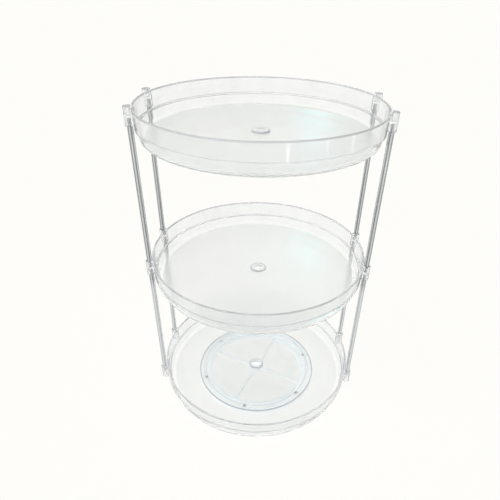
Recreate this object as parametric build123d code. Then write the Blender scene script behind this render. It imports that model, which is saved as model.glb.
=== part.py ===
from build123d import *
from math import cos, radians, sin
import os

# Three-tier rotating makeup organizer, all sizes in millimetres.
# The origin is on the table under the middle of the stand, with +Z up, -Y to the front and +X to the right.

# Thickness of the glue under the foot pads and the bottom tray, and the gap where a pushed-in piece seats
glue_line = 0.1
seat_gap = 0.05

# Tray sizes
rim_radius = 121.0
tray_height = 30.5
tray_wall = 2.0
floor_thickness = 2.2
ledge_depth = 17.2
ledge_step = 2.0
upper_draft = 1.0
lower_draft = 1.6
base_corner_radius = 4.0
floor_fillet_radius = 3.0
rim_edge_radius = 0.7
ledge_edge_radius = 0.5
tier_pitch = 162.5

# Post and socket sizes
post_diameter = 5.5
post_wall = 0.6
post_edge_radius = 0.2
neck_diameter = 3.0
neck_fit = 0.05
neck_end_gap = 0.4
socket_wall = 2.65
socket_sink = 1.69
socket_rise = 1.2
socket_drop = 16.0
socket_septum = 2.0
socket_end_radius = 0.8
socket_angle = 16.7

# Socket cap sizes
socket_cap_height = 0.8
socket_cap_edge_radius = 0.5

# Centre cap sizes
centre_cap_diameter = 18.6
centre_cap_height = 1.3
centre_cap_edge_radius = 0.8
centre_cap_roof = 1.0
dimple_diameter = 8.0
dimple_depth = 0.3
spigot_wall = 1.05
spigot_fit = 0.05
spigot_end_gap = 0.2

# Pivot sizes
pivot_diameter = 5.0
pivot_seat_fit = 0.02
pivot_running_fit = 0.05
pivot_head_diameter = 10.0
pivot_head_thickness = 1.0
pivot_head_gap = 0.2
pivot_end = 0.6
washer_width = 1.8
washer_thickness = 0.6
washer_gap = 0.15

# Turntable sizes
foot_count = 4
foot_diameter = 12.0
foot_thickness = 1.1
foot_angle = 20.5
base_thickness = 1.9
track_radius = 70.75
track_width = 10.5
outer_wall = 2.0
inner_wall = 2.0
inner_flange = 2.5
wall_gap = 0.5
hub_radius = 9.0
spoke_count = 4
spoke_width = 4.0
spoke_height = 3.4
spoke_angle = 65.5
race_plate_thickness = 1.4
race_hub_wall = 2.0
race_hub_gap = 0.35
race_hub_drop = 1.5
ball_count = 6
ball_diameter = 4.0
ball_angle = 19.15
ball_gap = 0.05
race_groove_depth = 0.6
race_groove_ease = 0.2
cage_ring_width = 4.5
cage_side_gap = 0.85
cage_pocket_gap = 0.2
cage_lift = 0.3
cage_thickness = 1.6

# Heights above the table, from the feet up to the top tray
base_bottom = foot_thickness + glue_line
base_top = base_bottom + base_thickness
ball_middle = base_top - race_groove_depth + ball_gap + ball_diameter / 2
race_plate_bottom = ball_middle + ball_diameter / 2 + ball_gap - race_groove_depth
race_plate_top = race_plate_bottom + race_plate_thickness
track_wall_top = race_plate_bottom - wall_gap
bottom_tray_base = race_plate_top + glue_line
middle_tray_base = bottom_tray_base + tier_pitch
top_tray_base = middle_tray_base + tier_pitch

# Radii at the centre, from the pivot out to the hole in the tray floor
pivot_radius = pivot_diameter / 2
race_bore_radius = pivot_radius + pivot_running_fit
race_hub_radius = race_bore_radius + race_hub_wall
spigot_bore_radius = race_hub_radius + race_hub_gap
spigot_radius = spigot_bore_radius + spigot_wall
floor_hole_radius = spigot_radius + spigot_fit

# Sockets, from the post's neck that fits them
post_radius = post_diameter / 2
neck_radius = neck_diameter / 2
socket_bore_radius = neck_radius + neck_fit
socket_radius = socket_bore_radius + socket_wall
socket_axis_radius = rim_radius + socket_radius - socket_sink
socket_bottom = tray_height - socket_drop
socket_top = tray_height + socket_rise
socket_length = socket_rise + socket_drop
socket_bore_depth = (socket_length - socket_septum) / 2
neck_length = socket_bore_depth - neck_end_gap
shoulder_length = tier_pitch - socket_length - 2 * seat_gap

socket_angles = {
    "front_right": -socket_angle,
    "back_right": socket_angle,
    "back_left": 180 - socket_angle,
    "front_left": 180 + socket_angle,
}


def turned(corners):
    """Solid turned about the upright axis from corners given as (radius, height, rounding)."""
    outline = make_face(Polyline(*[(radius, height) for radius, height, _ in corners], close=True))
    for radius, height, rounding in corners:
        if rounding > 0:
            corner = outline.vertices().sort_by_distance((radius, height, 0))[0]
            outline = fillet(corner, rounding)
    return revolve(Plane.XZ * outline, Axis.Z)


def at_angle(radius, angle, height):
    """Place on a circle about the upright axis."""
    return Pos(radius * cos(radians(angle)), radius * sin(radians(angle)), height)


def ring(inner_radius, outer_radius, bottom, top):
    """Plain ring about the upright axis."""
    return turned([
        (inner_radius, bottom, 0),
        (outer_radius, bottom, 0),
        (outer_radius, top, 0),
        (inner_radius, top, 0),
    ])


def disc(radius, bottom, top):
    """Plain disc about the upright axis."""
    return Pos(0, 0, bottom) * Cylinder(radius, top - bottom, align=(Align.CENTER, Align.CENTER, Align.MIN))


# Tray: one moulding, used on all three tiers
ledge_height = tray_height - ledge_depth
ledge_underside = ledge_height - tray_wall
upper_foot_radius = rim_radius - upper_draft
lower_top_radius = upper_foot_radius - ledge_step
lower_foot_radius = lower_top_radius - lower_draft
tray = turned([
    (floor_hole_radius, 0, 0),
    (lower_foot_radius, 0, base_corner_radius),
    (lower_top_radius, ledge_underside, ledge_edge_radius),
    (upper_foot_radius, ledge_underside, ledge_edge_radius),
    (rim_radius, tray_height, rim_edge_radius),
    (rim_radius - tray_wall, tray_height, rim_edge_radius),
    (upper_foot_radius - tray_wall, ledge_height, ledge_edge_radius),
    (lower_top_radius - tray_wall, ledge_height, ledge_edge_radius),
    (lower_foot_radius - tray_wall, floor_thickness, floor_fillet_radius),
    (floor_hole_radius, floor_thickness, 0),
])
socket = turned([
    (0, socket_bottom, 0),
    (socket_radius, socket_bottom, socket_end_radius),
    (socket_radius, socket_top, 0),
    (0, socket_top, 0),
])
lower_bore = disc(socket_bore_radius, socket_bottom, socket_bottom + socket_bore_depth)
upper_bore = disc(socket_bore_radius, socket_top - socket_bore_depth, socket_top)
for angle in socket_angles.values():
    tray += at_angle(socket_axis_radius, angle, 0) * socket
for angle in socket_angles.values():
    tray -= at_angle(socket_axis_radius, angle, 0) * (lower_bore + upper_bore)

# Post: a thin steel tube, necked down at both ends, whose shoulders bear on the sockets above and below
post = turned([
    (neck_radius - post_wall, -neck_length, 0),
    (neck_radius, -neck_length, post_edge_radius),
    (neck_radius, 0, 0),
    (post_radius, 0, post_edge_radius),
    (post_radius, shoulder_length, post_edge_radius),
    (neck_radius, shoulder_length, 0),
    (neck_radius, shoulder_length + neck_length, post_edge_radius),
    (neck_radius - post_wall, shoulder_length + neck_length, 0),
    (neck_radius - post_wall, shoulder_length - post_wall, 0),
    (post_radius - post_wall, shoulder_length - post_wall, 0),
    (post_radius - post_wall, post_wall, 0),
    (neck_radius - post_wall, post_wall, 0),
])

# Socket cap: a thin head on the socket's end and a stem in its upper bore
socket_cap = turned([
    (0, -neck_length, 0),
    (neck_radius, -neck_length, 0),
    (neck_radius, seat_gap, 0),
    (socket_radius, seat_gap, 0),
    (socket_radius, socket_cap_height, socket_cap_edge_radius),
    (0, socket_cap_height, 0),
])

# Centre cap: a low dished disc on the tray floor with a spigot in the floor's hole
centre_cap_radius = centre_cap_diameter / 2
dimple_height = centre_cap_height - dimple_depth
centre_cap = turned([
    (spigot_bore_radius, spigot_end_gap - floor_thickness, 0),
    (spigot_radius, spigot_end_gap - floor_thickness, 0),
    (spigot_radius, seat_gap, 0),
    (centre_cap_radius, seat_gap, 0),
    (centre_cap_radius, centre_cap_height, centre_cap_edge_radius),
    (dimple_diameter / 2, centre_cap_height, 0),
    (dimple_diameter / 2, dimple_height, 0),
    (0, dimple_height, 0),
    (0, centre_cap_height - centre_cap_roof, 0),
    (spigot_bore_radius, centre_cap_height - centre_cap_roof, 0),
])

# Turntable base: a grooved ring between two low walls, on spokes from a hub
groove_radius = ball_diameter / 2 + race_groove_ease
base_groove_height = base_top - race_groove_depth + groove_radius
track_inner_radius = track_radius - track_width / 2
track_outer_radius = track_radius + track_width / 2
base_radius = track_outer_radius + outer_wall
base_inner_radius = track_inner_radius - inner_wall - inner_flange
turntable_base = ring(base_inner_radius, base_radius, base_bottom, base_top)
turntable_base += ring(track_inner_radius - inner_wall, track_inner_radius, base_bottom, track_wall_top)
turntable_base += ring(track_outer_radius, base_radius, base_bottom, track_wall_top)
turntable_base += disc(hub_radius, base_bottom, track_wall_top)
spoke_length = track_inner_radius - inner_wall / 2
spoke = Box(spoke_length, spoke_width, spoke_height, align=(Align.MIN, Align.CENTER, Align.MIN))
for number in range(spoke_count):
    turn = Rot(0, 0, spoke_angle + number * 360 / spoke_count)
    turntable_base += turn * Pos(0, 0, base_bottom) * spoke
turntable_base -= Pos(0, 0, base_groove_height) * Torus(track_radius, groove_radius)
turntable_base -= disc(pivot_radius + pivot_seat_fit, base_bottom, track_wall_top)
pivot_recess_top = base_bottom + pivot_head_gap + pivot_head_thickness
pivot_head_radius = pivot_head_diameter / 2
turntable_base -= disc(pivot_head_radius + pivot_head_gap, base_bottom, pivot_recess_top)

# Race plate: fixed under the bottom tray, with a groove for the balls and a hub in the floor's hole
plate_groove_height = race_plate_bottom + race_groove_depth - groove_radius
race_hub_top = bottom_tray_base + floor_thickness - race_hub_drop
race_plate = disc(base_radius, race_plate_bottom, race_plate_top)
race_plate += disc(race_hub_radius, race_plate_bottom, race_hub_top)
race_plate -= Pos(0, 0, plate_groove_height) * Torus(track_radius, groove_radius)
race_plate -= disc(race_bore_radius, race_plate_bottom, race_hub_top)

# Balls and the cage that spaces them round the track
cage_bottom = base_top + cage_lift
cage_top = cage_bottom + cage_thickness
pocket_radius = ball_diameter / 2 + cage_pocket_gap
eye_radius = track_width / 2 - cage_side_gap
cage_half_width = cage_ring_width / 2
ball_cage = ring(track_radius - cage_half_width, track_radius + cage_half_width, cage_bottom, cage_top)
ball_angles = [ball_angle + number * 360 / ball_count for number in range(ball_count)]
for angle in ball_angles:
    ball_cage += at_angle(track_radius, angle, 0) * disc(eye_radius, cage_bottom, cage_top)
for angle in ball_angles:
    ball_cage -= at_angle(track_radius, angle, 0) * disc(pocket_radius, cage_bottom, cage_top)
balls = [at_angle(track_radius, angle, ball_middle) * Sphere(ball_diameter / 2) for angle in ball_angles]

# Pivot pin, headed under the hub, and the washer on its upper end
washer_bottom = race_hub_top + washer_gap
washer_top = washer_bottom + washer_thickness
pivot_top = washer_top + pivot_end
pivot_pin = disc(pivot_head_radius, pivot_recess_top - pivot_head_thickness, pivot_recess_top)
pivot_pin += disc(pivot_radius, pivot_recess_top - pivot_head_thickness, pivot_top)
washer_bore_radius = pivot_radius + pivot_seat_fit
retaining_washer = ring(washer_bore_radius, pivot_radius + washer_width, washer_bottom, washer_top)

# Foot pads, under the ball track
foot_pad = disc(foot_diameter / 2, 0, foot_thickness)

# Named pieces
pieces = {
    "tray_bottom": Pos(0, 0, bottom_tray_base) * tray,
    "tray_middle": Pos(0, 0, middle_tray_base) * tray,
    "tray_top": Pos(0, 0, top_tray_base) * tray,
    "centre_cap_bottom": Pos(0, 0, bottom_tray_base + floor_thickness) * centre_cap,
    "centre_cap_middle": Pos(0, 0, middle_tray_base + floor_thickness) * centre_cap,
    "centre_cap_top": Pos(0, 0, top_tray_base + floor_thickness) * centre_cap,
    "turntable_base": turntable_base,
    "race_plate": race_plate,
    "ball_cage": ball_cage,
    "bearing_balls": Compound(children=balls),
    "pivot_pin": pivot_pin,
    "retaining_washer": retaining_washer,
}
post_seat = socket_top + seat_gap
for corner, angle in socket_angles.items():
    upright = at_angle(socket_axis_radius, angle, 0)
    pieces["post_lower_" + corner] = upright * Pos(0, 0, bottom_tray_base + post_seat) * post
    pieces["post_upper_" + corner] = upright * Pos(0, 0, middle_tray_base + post_seat) * post
    pieces["socket_cap_" + corner] = upright * Pos(0, 0, top_tray_base + socket_top) * socket_cap
for number in range(foot_count):
    angle = foot_angle + number * 360 / foot_count
    pieces["foot_pad_" + str(number + 1)] = at_angle(track_radius, angle, 0) * foot_pad

os.makedirs("parts", exist_ok=True)
for name, shape in pieces.items():
    export_step(shape, "parts/" + name + ".step")
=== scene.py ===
from math import cos, pi, radians, sin

import bpy
from mathutils import Matrix, Vector


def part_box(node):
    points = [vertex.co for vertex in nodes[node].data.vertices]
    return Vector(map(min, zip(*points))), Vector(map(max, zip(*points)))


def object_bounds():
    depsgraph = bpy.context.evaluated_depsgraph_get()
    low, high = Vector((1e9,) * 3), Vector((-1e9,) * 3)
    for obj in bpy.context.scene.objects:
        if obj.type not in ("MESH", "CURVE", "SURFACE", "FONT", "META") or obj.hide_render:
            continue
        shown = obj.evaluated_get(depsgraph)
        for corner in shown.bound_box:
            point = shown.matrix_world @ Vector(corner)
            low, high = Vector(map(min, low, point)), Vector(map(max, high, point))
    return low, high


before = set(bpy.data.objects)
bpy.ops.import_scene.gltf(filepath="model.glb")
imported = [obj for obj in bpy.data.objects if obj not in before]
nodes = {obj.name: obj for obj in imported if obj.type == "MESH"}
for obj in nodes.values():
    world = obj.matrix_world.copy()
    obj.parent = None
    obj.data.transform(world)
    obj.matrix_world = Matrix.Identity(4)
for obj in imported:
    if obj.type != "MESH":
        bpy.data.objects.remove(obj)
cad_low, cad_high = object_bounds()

# Lengths are in metres and angles in degrees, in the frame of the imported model.

# Photograph's camera, for a square image of 500 pixels
image_side = 500
focal_pixels = 437.0
centre_column = 257.87
centre_row = 268.21
camera_place = (0.00450, -0.43304, 0.46356)
camera_heading = 0.633
camera_pitch = 34.024
camera_roll = 1.108
sensor_width = 36.0

# Light levels: room and sun together light a level white card to about its own colour
room_light = 0.30
room_colour = (0.99, 0.995, 1.0)
room_seen = 0.993
sun_light = 2.55
sun_spread = 60.0
sun_place = (-0.6, -0.5, 1.6)
sun_colour = (1.0, 0.995, 0.98)
paper_white = (1.0, 0.995, 0.965)

# Floor: a sheet just under the feet, lifted to white where it is seen, and less through clear pieces
floor_side = 60.0
floor_drop = 0.0002
floor_lift = 0.8
floor_through = 0.36
paper_colours = ((0.945, 0.94, 0.905), (0.955, 0.95, 0.915))
paper_cloud_scale = 3.0
paper_roughness = 0.9

# Window, as soft patches of sky.
# Each has its azimuth from +Y towards +X, its elevation, its half width and its brightness over the room.
window_patches = [(6.8, 13.9, 2.6, 1.1), (7.2, 30.4, 2.4, 2.6)]
window_blur_share = 0.5
window_colour = (0.10, 0.95, 1.0)

# Glint lamps, low down round the front and right.
# Each has its place, the point it faces, its width and height, its power in watts and its colour.
lamp_white = (1.0, 1.0, 1.0)
lamp_lilac = (0.90, 0.90, 1.0)
glints = {
    "glint_front": ((0.259, -0.64, 0.083), (0.022, -0.119, 0.353), 0.030, 0.045, 0.012, lamp_white),
    "glint_left": ((-0.197, -0.637, 0.116), (-0.016, -0.119, 0.360), 0.040, 0.022, 0.008, lamp_white),
    "glint_right": ((0.57, -0.40, 0.110), (0.053, -0.108, 0.355), 0.030, 0.050, 0.006, lamp_lilac),
    "glint_side": ((0.760, -0.12, 0.094), (0.073, -0.096, 0.357), 0.045, 0.060, 0.010, lamp_lilac),
}

# Light paths long enough for the stacked clear trays
clear_bounces = 48
polish_bounces = 32
shadow_crossings = 32

# Trays: the height of the lowest one's base, and the step from tier to tier
lowest_tray_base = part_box("tray_bottom")[0].z
tier_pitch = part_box("tray_middle")[0].z - lowest_tray_base

# Middle of a noise texture's range, over which colours and roughness change
noise_range = (0.3, 0.7)

# Clear plastic, which changes a little along a slow wave in the moulding
clear_colours = ((0.945, 0.955, 0.96), (0.965, 0.975, 0.98))
clear_roughness = (0.05, 0.09)
clear_clearness = (0.94, 0.97)
wave_scale = 45.0
wave_bump = 0.02
wave_depth = 0.001
plastic_ior = 1.49
plastic_shadow = (0.997, 1.0, 1.0)

# Edges of the clear pieces, given painted shade as darker, rougher and less clear lines.
# Each has its radius from and to, its height above the tray's base from and to, and its share.
tray_edges = [
    (0.1170, 0.1213, 0.0290, 0.0310, 0.6),
    (0.1155, 0.1186, 0.0130, 0.0138, 0.5),
]
centre_cap_edges = [(0.0080, 0.0100, 0.0010, 0.0100, 1.0)]
race_plate_edges = [(0.0770, 0.0790, -0.0100, 0.0100, 1.0)]
edge_blur = 0.0003
edge_roughness = 0.2
edge_clearness = 0.5
# Colours of the painted edge shade: pale on the trays and caps, dark on the race plate
pale_edge_shade = ((0.54, 0.54, 0.59), (0.66, 0.66, 0.70))
dark_edge_shade = ((0.22, 0.23, 0.27), (0.32, 0.33, 0.37))

# Sockets and their caps stand outside this radius
socket_radius = 0.1213
socket_blur = 0.0004
# Painted shade on the sockets' sides
socket_side_shade_colours = ((0.36, 0.37, 0.40), (0.46, 0.47, 0.50))

# Faces seen at a slant get painted shade, darker, rougher and less clear, and those of the sockets more so:
# slant from and to, and greatest share
facing_blend = 0.5
wall_slant = (0.80, 0.97, 0.7)
socket_slant = (0.40, 0.85, 1.0)
slant_roughness = 0.25
slant_clearness = 0.6

# Flat of the tray floor, whose upper face is a little duller than the walls
floor_radius = 0.1114
floor_height = 0.0026
floor_blur = 0.0004
floor_roughness = 0.2

# Frosted disc, moulded into the underside of each tray floor
frost_radius = 0.111
frost_blur = 0.0006
frost_depth = 0.0011
frost_colours = ((0.797, 0.807, 0.803), (0.827, 0.837, 0.833))
frost_roughness = (0.18, 0.24)
frost_clearness = 0.75
grain_scale = 1800.0
grain_detail = 3.0
grain_range = (0.2, 0.8)
grain_bump = 0.04
grain_depth = 0.0003

# Posts: painted reflection as light and dark streaks round each one, fine lines along it, and the lower
# tier painted lighter
post_reflection_colours = ((0.22, 0.23, 0.24), (0.68, 0.70, 0.72))
post_roughness = 0.12
post_roughness_change = 0.3
reflection_streaks_round = 6
reflection_streak_range = (0.15, 0.85)
line_scale = 1400.0
line_detail = 1.0
line_stretch = (1, 1, 0.003)
line_share = 0.35
lower_post_painted_lift = 0.4
painted_lift_fade = 0.1

# Bearing balls, their steel painted near black as shade
ball_shade_colours = ((0.04, 0.045, 0.05), (0.10, 0.11, 0.12))
ball_roughness = (0.2, 0.3)
ball_cloud_scale = 600.0

# Milky plastic of the turntable: its flats, the painted shade on steep walls outside the ring's inner
# radius, and its clearness
base_flats = ((0.93, 0.97, 1.0), (0.95, 0.985, 1.0))
base_wall_shade = ((0.88, 0.93, 1.0), (0.92, 0.96, 1.0))
base_clearness = 0.12
cage_flats = ((0.97, 0.975, 0.98), (0.99, 0.99, 0.99))
cage_wall_shade = ((0.88, 0.91, 0.94), (0.92, 0.95, 0.97))
cage_clearness = 0.15
milky_roughness = (0.10, 0.18)
milky_cloud_scale = 30.0
wall_steepness = (0.2, 0.6)
ring_inner_radius = 0.060

# Foot pads
pad_colours = ((0.88, 0.90, 0.90), (0.94, 0.95, 0.95))
pad_roughness = (0.35, 0.5)
pad_clearness = 0.8
pad_cloud_scale = 200.0
pad_ior = 1.41
pad_shadow = (0.85, 0.86, 0.86)

# Detail of the cloudy noise in milky plastic and in the pads
cloud_detail = 3.0

# Sockets of a Mix node, whose names are shared by its kinds of data
colour_sockets = (6, 7)
colour_result = 2
number_sockets = (2, 3)
number_result = 0


def shader(name):
    """New node material, with its tree and its Principled shader."""
    made = bpy.data.materials.new(name)
    made.use_nodes = True
    return made, made.node_tree, made.node_tree.nodes["Principled BSDF"]


def add(tree, kind, inputs=(), **settings):
    """New node in a tree. Inputs are (socket, value) pairs, and a value may be another node's output."""
    made = tree.nodes.new(kind)
    for key, value in settings.items():
        setattr(made, key, value)
    for socket, value in inputs:
        if isinstance(value, bpy.types.NodeSocket):
            tree.links.new(value, made.inputs[socket])
        else:
            made.inputs[socket].default_value = value
    return made


def math(tree, operation, first, second=0.0):
    """Output of a Math node."""
    return add(tree, "ShaderNodeMath", [(0, first), (1, second)], operation=operation).outputs[0]


def spread(tree, value, low, high, to_low, to_high):
    """Output of a Map Range node, smooth between its ends."""
    made = add(
        tree,
        "ShaderNodeMapRange",
        [("Value", value), ("From Min", low), ("From Max", high), ("To Min", to_low), ("To Max", to_high)],
        interpolation_type="SMOOTHSTEP",
    )
    return made.outputs["Result"]


def over_noise(tree, value, to_low, to_high):
    """Number between two numbers, by a noise texture's grey."""
    return spread(tree, value, *noise_range, to_low, to_high)


def within(tree, value, limit, blur):
    """One below a limit and zero above it, with a soft end."""
    return spread(tree, value, limit - blur, limit + blur, 1.0, 0.0)


def beyond(tree, value, limit, blur):
    """One above a limit and zero below it, with a soft end."""
    return spread(tree, value, limit - blur, limit + blur, 0.0, 1.0)


def band(tree, value, low, high, blur):
    """One between two levels and zero outside them, with soft ends."""
    return math(tree, "MULTIPLY", beyond(tree, value, low, blur), within(tree, value, high, blur))


def noise(tree, where, scale, detail=2.0, stretch=(1, 1, 1)):
    """Grey output of a noise texture at object coordinates."""
    placed = add(tree, "ShaderNodeMapping", [("Vector", where), ("Scale", stretch)])
    inputs = [("Vector", placed.outputs[0]), ("Scale", scale), ("Detail", detail)]
    return add(tree, "ShaderNodeTexNoise", inputs).outputs["Fac"]


def tint(tree, value, colours, positions=noise_range):
    """Colour between two colours, by a grey value."""
    ramp = add(tree, "ShaderNodeValToRGB", [("Fac", value)])
    for element, colour, position in zip(ramp.color_ramp.elements, colours, positions):
        element.position = position
        element.color = (*colour, 1)
    return ramp.outputs["Color"]


def mix_colours(tree, share, first, second):
    """Colour mixed from two colours."""
    inputs = [("Factor", share), *zip(colour_sockets, (first, second))]
    return add(tree, "ShaderNodeMix", inputs, data_type="RGBA").outputs[colour_result]


def mix_numbers(tree, share, first, second):
    """Number mixed from two numbers."""
    inputs = [("Factor", share), *zip(number_sockets, (first, second))]
    return add(tree, "ShaderNodeMix", inputs, data_type="FLOAT").outputs[number_result]


def mix_looks(tree, share, first, second):
    """Look mixed from two looks, each a colour, a roughness and a clearness."""
    colour = mix_colours(tree, share, first[0], second[0])
    roughness = mix_numbers(tree, share, first[1], second[1])
    clearness = mix_numbers(tree, share, first[2], second[2])
    return colour, roughness, clearness


def bumped(tree, strength, depth, height, inputs=()):
    """Normal output of a Bump node."""
    values = [("Strength", strength), ("Distance", depth), ("Height", height), *inputs]
    return add(tree, "ShaderNodeBump", values).outputs[0]


def object_place(tree):
    """Object coordinates."""
    return add(tree, "ShaderNodeTexCoord").outputs["Object"]


def radius_and_height(tree, where):
    """Distance from the turning axis, and height above the base of the tray on that tier."""
    flat = add(tree, "ShaderNodeVectorMath", [(0, where), (1, (1, 1, 0))], operation="MULTIPLY").outputs[0]
    radius = add(tree, "ShaderNodeVectorMath", [(0, flat)], operation="LENGTH").outputs["Value"]
    level = add(tree, "ShaderNodeSeparateXYZ", [(0, where)]).outputs["Z"]
    above_lowest = math(tree, "SUBTRACT", level, lowest_tray_base)
    wrapped = [(0, above_lowest), (1, tier_pitch - lowest_tray_base), (2, -lowest_tray_base)]
    height = add(tree, "ShaderNodeMath", wrapped, operation="WRAP").outputs[0]
    return radius, height


def edge_shade_share(tree, radius, height, edges):
    """Share of painted shade for each edge on its own place, zero elsewhere."""
    total = 0.0
    for inner, outer, bottom, top, share in edges:
        here = math(tree, "MULTIPLY", band(tree, radius, inner, outer, edge_blur), share)
        here = math(tree, "MULTIPLY", here, band(tree, height, bottom, top, edge_blur))
        total = math(tree, "MAXIMUM", here, total)
    return total


def slant_shade_share(tree, on_socket):
    """Share of painted shade on a face seen at a slant."""
    facing = add(tree, "ShaderNodeLayerWeight", [("Blend", facing_blend)]).outputs["Facing"]
    shares = []
    for start, end, share in (wall_slant, socket_slant):
        shares.append(spread(tree, facing, start, end, 0.0, share))
    return mix_numbers(tree, on_socket, *shares)


def let_lamps_through(made, tint_of_shadow):
    """Rays to the lamps pass straight through, so a clear piece casts only a faint shadow."""
    tree = made.node_tree
    principled = tree.nodes["Principled BSDF"]
    path = add(tree, "ShaderNodeLightPath")
    clear = add(tree, "ShaderNodeBsdfTransparent", [("Color", (*tint_of_shadow, 1))])
    both = add(tree, "ShaderNodeMixShader", [("Fac", path.outputs["Is Shadow Ray"])])
    tree.links.new(principled.outputs[0], both.inputs[1])
    tree.links.new(clear.outputs[0], both.inputs[2])
    tree.links.new(both.outputs[0], tree.nodes["Material Output"].inputs["Surface"])


def dull_floor(tree, radius, height, look):
    """Look with the upper face of the tray's floor a little duller."""
    colour, roughness, clearness = look
    inside = within(tree, radius, floor_radius, floor_blur)
    on_floor = math(tree, "MULTIPLY", inside, math(tree, "LESS_THAN", height, floor_height))
    return colour, mix_numbers(tree, on_floor, roughness, floor_roughness), clearness


def frosted_disc(tree, where, radius, height, look, normal):
    """Look and normal with grainy frost on the underside of the tray's floor."""
    grain = noise(tree, where, grain_scale, grain_detail)
    inside = within(tree, radius, frost_radius, frost_blur)
    frost = math(tree, "MULTIPLY", inside, math(tree, "LESS_THAN", height, frost_depth))
    roughness = spread(tree, grain, *grain_range, *frost_roughness)
    frosted_look = (tint(tree, grain, frost_colours), roughness, frost_clearness)
    look = mix_looks(tree, frost, look, frosted_look)
    raised = math(tree, "MULTIPLY", grain, frost)
    return look, bumped(tree, grain_bump, grain_depth, raised, [("Normal", normal)])


def clear_plastic(name, edges=(), edge_shade_tints=pale_edge_shade, frosted=False):
    """Clear moulded plastic with painted shade at its edges and on faces seen at a slant, and a frosted
    disc under the tray floors.
    """
    made, tree, principled = shader(name)
    where = object_place(tree)
    radius, height = radius_and_height(tree, where)
    wave = noise(tree, where, wave_scale)
    roughness = over_noise(tree, wave, *clear_roughness)
    clearness = over_noise(tree, wave, *clear_clearness)
    look = (tint(tree, wave, clear_colours), roughness, clearness)
    normal = bumped(tree, wave_bump, wave_depth, wave)
    painted_edge_colour = tint(tree, wave, edge_shade_tints)
    on_socket = beyond(tree, radius, socket_radius, socket_blur)
    # Painted shade: a darker grey on the sockets' sides, and the edge colour elsewhere, for faces seen at a
    # slant
    slant_shade_colour = mix_colours(tree, on_socket, painted_edge_colour, tint(tree, wave, socket_side_shade_colours))
    shaded_slant_look = (slant_shade_colour, slant_roughness, slant_clearness)
    look = mix_looks(tree, slant_shade_share(tree, on_socket), look, shaded_slant_look)
    # Painted shade along the rims, ledges, cap edges and the race plate's edge
    if edges:
        shaded_edge_look = (painted_edge_colour, edge_roughness, edge_clearness)
        look = mix_looks(tree, edge_shade_share(tree, radius, height, edges), look, shaded_edge_look)
    if frosted:
        look = dull_floor(tree, radius, height, look)
        look, normal = frosted_disc(tree, where, radius, height, look, normal)
    for socket, value in zip(("Base Color", "Roughness", "Transmission Weight", "Normal"), (*look, normal)):
        tree.links.new(value, principled.inputs[socket])
    principled.inputs["IOR"].default_value = plastic_ior
    let_lamps_through(made, plastic_shadow)
    return made


def post_lines_and_painted_light(tree, where):
    """Fine lines along a post, and the painted reflection streaks round it with those lines in them, with
    the lower tier painted lighter.
    """
    low_corner, high_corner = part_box("post_lower_front_right")
    middle = (low_corner + high_corner) / 2
    place = add(tree, "ShaderNodeSeparateXYZ", [(0, where)])
    across = math(tree, "SUBTRACT", math(tree, "ABSOLUTE", place.outputs["X"]), abs(middle.x))
    along = math(tree, "SUBTRACT", math(tree, "ABSOLUTE", place.outputs["Y"]), abs(middle.y))
    # Painted reflection: light and dark streaks by the angle round the post
    around = math(tree, "MULTIPLY", math(tree, "ARCTAN2", along, across), reflection_streaks_round)
    lines = noise(tree, where, line_scale, line_detail, line_stretch)
    streaks = math(tree, "MULTIPLY", math(tree, "SUBTRACT", 1.0, math(tree, "COSINE", around)), 0.5)
    streaks = mix_numbers(tree, line_share, streaks, lines)
    # Painted lift: the posts of the lower tier are painted lighter, standing in for the pale floor they
    # mirror
    fade_end = tier_pitch * (1 + painted_lift_fade)
    painted_lift = spread(tree, place.outputs["Z"], tier_pitch, fade_end, lower_post_painted_lift, 0.0)
    return lines, math(tree, "ADD", streaks, painted_lift)


def drawn_steel(name):
    """Polished tube whose colour carries painted reflection: streaks along its length, a few round each
    post.
    """
    made, tree, principled = shader(name)
    lines, streaks = post_lines_and_painted_light(tree, object_place(tree))
    smoothest = post_roughness * (1 - post_roughness_change)
    roughest = post_roughness * (1 + post_roughness_change)
    tree.links.new(tint(tree, streaks, post_reflection_colours, reflection_streak_range), principled.inputs["Base Color"])
    tree.links.new(over_noise(tree, lines, smoothest, roughest), principled.inputs["Roughness"])
    principled.inputs["Metallic"].default_value = 1.0
    return made


def ball_steel(name):
    """Bearing steel painted near black as shade, a little uneven."""
    made, tree, principled = shader(name)
    cloud = noise(tree, object_place(tree), ball_cloud_scale)
    # Painted shade: the balls' steel is near black
    tree.links.new(tint(tree, cloud, ball_shade_colours), principled.inputs["Base Color"])
    tree.links.new(over_noise(tree, cloud, *ball_roughness), principled.inputs["Roughness"])
    principled.inputs["Metallic"].default_value = 1.0
    return made


def milky_plastic(name, flats, walls, clearness):
    """Milky plastic, with painted shade, darker and bluer, on the steep faces of the ring's walls."""
    made, tree, principled = shader(name)
    where = object_place(tree)
    radius, _ = radius_and_height(tree, where)
    cloud = noise(tree, where, milky_cloud_scale, cloud_detail)
    normal = add(tree, "ShaderNodeNewGeometry").outputs["Normal"]
    upward = math(tree, "ABSOLUTE", add(tree, "ShaderNodeSeparateXYZ", [(0, normal)]).outputs["Z"])
    # Painted shade on steep faces outside the ring's inner radius
    steep = spread(tree, upward, *wall_steepness, 1.0, 0.0)
    on_wall = math(tree, "MULTIPLY", steep, math(tree, "GREATER_THAN", radius, ring_inner_radius))
    colour = mix_colours(tree, on_wall, tint(tree, cloud, flats), tint(tree, cloud, walls))
    tree.links.new(colour, principled.inputs["Base Color"])
    tree.links.new(over_noise(tree, cloud, *milky_roughness), principled.inputs["Roughness"])
    principled.inputs["Transmission Weight"].default_value = clearness
    principled.inputs["IOR"].default_value = plastic_ior
    let_lamps_through(made, plastic_shadow)
    return made


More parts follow.
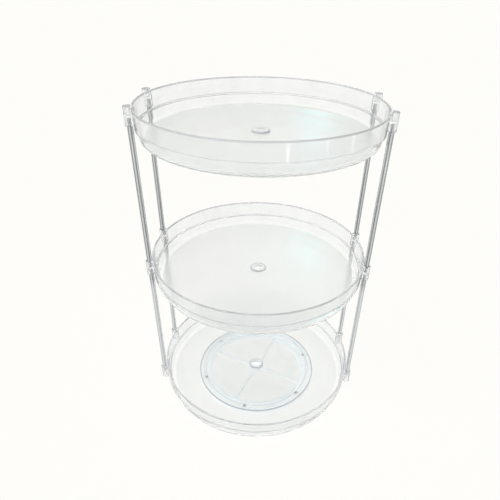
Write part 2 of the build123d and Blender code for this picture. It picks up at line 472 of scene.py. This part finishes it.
def clear_silicone(name):
    """Soft clear pads with a matt skin."""
    made, tree, principled = shader(name)
    cloud = noise(tree, object_place(tree), pad_cloud_scale, cloud_detail)
    tree.links.new(tint(tree, cloud, pad_colours), principled.inputs["Base Color"])
    tree.links.new(over_noise(tree, cloud, *pad_roughness), principled.inputs["Roughness"])
    principled.inputs["Transmission Weight"].default_value = pad_clearness
    principled.inputs["IOR"].default_value = pad_ior
    let_lamps_through(made, pad_shadow)
    return made


def paint(material, *starts):
    """Gives a material to every CAD node whose name starts with one of the words."""
    for name, thing in nodes.items():
        if name.startswith(starts):
            thing.data.materials.clear()
            thing.data.materials.append(material)


def seen_directly(tree, through):
    """One for rays from the camera or off polish, and a share for those that come through clear pieces."""
    path = add(tree, "ShaderNodeLightPath")
    seen = math(tree, "MAXIMUM", path.outputs["Is Camera Ray"], path.outputs["Is Glossy Ray"])
    return math(tree, "MAXIMUM", seen, math(tree, "MULTIPLY", path.outputs["Is Transmission Ray"], through))


def floor_paper(name):
    """Pale paper, lifted to an even white where it is seen."""
    made, tree, principled = shader(name)
    cloud = noise(tree, object_place(tree), paper_cloud_scale)
    tree.links.new(tint(tree, cloud, paper_colours), principled.inputs["Base Color"])
    principled.inputs["Roughness"].default_value = paper_roughness
    principled.inputs["Specular IOR Level"].default_value = 0.0
    glow = add(tree, "ShaderNodeEmission", [("Color", (*paper_white, 1)), ("Strength", room_seen)])
    lift = math(tree, "MULTIPLY", seen_directly(tree, floor_through), floor_lift)
    lifted = add(tree, "ShaderNodeMixShader", [("Fac", lift)])
    tree.links.new(principled.outputs[0], lifted.inputs[1])
    tree.links.new(glow.outputs[0], lifted.inputs[2])
    tree.links.new(lifted.outputs[0], tree.nodes["Material Output"].inputs["Surface"])
    return made


def white_floor():
    """Flat floor under the feet that keeps the object's shadow."""
    half = floor_side / 2
    corners = [(-half, -half, 0), (half, -half, 0), (half, half, 0), (-half, half, 0)]
    mesh = bpy.data.meshes.new("floor")
    mesh.from_pydata(corners, [], [(0, 1, 2, 3)])
    floor = bpy.data.objects.new("floor", mesh)
    floor.location.z = -floor_drop
    bpy.context.scene.collection.objects.link(floor)
    mesh.materials.append(floor_paper("floor_paper"))


def window_glow(tree):
    """Brightness of the window in each direction."""
    direction = add(tree, "ShaderNodeTexCoord").outputs["Generated"]
    total = 0.0
    for azimuth, elevation, half_width, brightness in window_patches:
        level = cos(radians(elevation))
        axis = (level * sin(radians(azimuth)), level * cos(radians(azimuth)), sin(radians(elevation)))
        nearness = add(tree, "ShaderNodeVectorMath", [(0, direction), (1, axis)], operation="DOT_PRODUCT")
        blur = half_width * window_blur_share
        outer = cos(radians(half_width + blur))
        inner = cos(radians(half_width - blur))
        glow = spread(tree, nearness.outputs["Value"], outer, inner, 0.0, brightness)
        total = math(tree, "ADD", glow, total)
    return total


def pale_room():
    """World that lights softly, and shows near white in polished and clear pieces."""
    world = bpy.data.worlds.new("room")
    world.use_nodes = True
    bpy.context.scene.world = world
    tree = world.node_tree
    lighting = tree.nodes["Background"]
    lighting.inputs["Color"].default_value = (*room_colour, 1)
    lighting.inputs["Strength"].default_value = room_light
    paper = add(tree, "ShaderNodeBackground", [("Color", (*paper_white, 1)), ("Strength", room_seen)])
    glow = window_glow(tree)
    window = add(tree, "ShaderNodeBackground", [("Color", (*window_colour, 1)), ("Strength", glow)])
    view = add(tree, "ShaderNodeAddShader")
    tree.links.new(paper.outputs[0], view.inputs[0])
    tree.links.new(window.outputs[0], view.inputs[1])
    room = add(tree, "ShaderNodeMixShader", [("Fac", seen_directly(tree, 1.0))])
    tree.links.new(lighting.outputs[0], room.inputs[1])
    tree.links.new(view.outputs[0], room.inputs[2])
    tree.links.new(room.outputs[0], tree.nodes["World Output"].inputs["Surface"])


def place_lamp(data, place, aim):
    """Puts a lamp in the scene, facing a point."""
    lamp = bpy.data.objects.new(data.name, data)
    lamp.location = place
    lamp.rotation_euler = (Vector(aim) - Vector(place)).to_track_quat("-Z", "Y").to_euler()
    bpy.context.scene.collection.objects.link(lamp)
    return lamp


def sun_lamp(name, aim):
    """Soft light from far away that polished and clear pieces don't mirror, so no floor clips to white."""
    data = bpy.data.lights.new(name, "SUN")
    data.energy = sun_light
    data.angle = radians(sun_spread)
    data.color = sun_colour
    data.cycles.use_multiple_importance_sampling = False
    lamp = place_lamp(data, sun_place, aim)
    lamp.visible_glossy = False
    lamp.visible_transmission = False


def glint_lamp(name, place, aim, width, height, power, colour):
    """Small rectangular lamp that a tray's wall mirrors as a bright streak."""
    data = bpy.data.lights.new(name, "AREA")
    data.shape = "RECTANGLE"
    data.size = width
    data.size_y = height
    data.energy = power
    data.color = colour
    place_lamp(data, place, aim)


def photo_camera():
    """Camera that took the photograph."""
    lens = bpy.data.cameras.new("camera")
    lens.sensor_width = sensor_width
    lens.lens = focal_pixels / image_side * sensor_width
    lens.shift_x = (image_side / 2 - centre_column) / image_side
    lens.shift_y = (centre_row - image_side / 2) / image_side
    camera = bpy.data.objects.new("camera", lens)
    turn = Matrix.Rotation(radians(camera_heading), 4, "Z")
    tilt = Matrix.Rotation(pi / 2 - radians(camera_pitch), 4, "X")
    roll = Matrix.Rotation(radians(camera_roll), 4, "Z")
    camera.matrix_world = Matrix.Translation(camera_place) @ turn @ tilt @ roll
    bpy.context.scene.collection.objects.link(camera)
    bpy.context.scene.camera = camera


# Materials of the CAD nodes
paint(clear_plastic("tray_plastic", tray_edges, frosted=True), "tray_")
paint(clear_plastic("centre_cap_plastic", centre_cap_edges), "centre_cap_")
paint(clear_plastic("race_plate_plastic", race_plate_edges, dark_edge_shade), "race_plate")
paint(clear_plastic("socket_cap_plastic"), "socket_cap_")
paint(milky_plastic("base_plastic", base_flats, base_wall_shade, base_clearness), "turntable_base")
cage_plastic = milky_plastic("cage_plastic", cage_flats, cage_wall_shade, cage_clearness)
paint(cage_plastic, "ball_cage", "pivot_", "retaining_")
paint(drawn_steel("post_steel"), "post_")
paint(ball_steel("ball_steel"), "bearing_")
paint(clear_silicone("pad_silicone"), "foot_pad_")

# Floor, room, lamps and camera
white_floor()
pale_room()
sun_lamp("key", (0, 0, cad_high.z / 2))
for glint_name, glint in glints.items():
    glint_lamp(glint_name, *glint)
photo_camera()

scene = bpy.context.scene
scene.view_settings.view_transform = "Standard"
scene.cycles.max_bounces = clear_bounces
scene.cycles.transmission_bounces = clear_bounces
scene.cycles.glossy_bounces = polish_bounces
scene.cycles.transparent_max_bounces = shadow_crossings
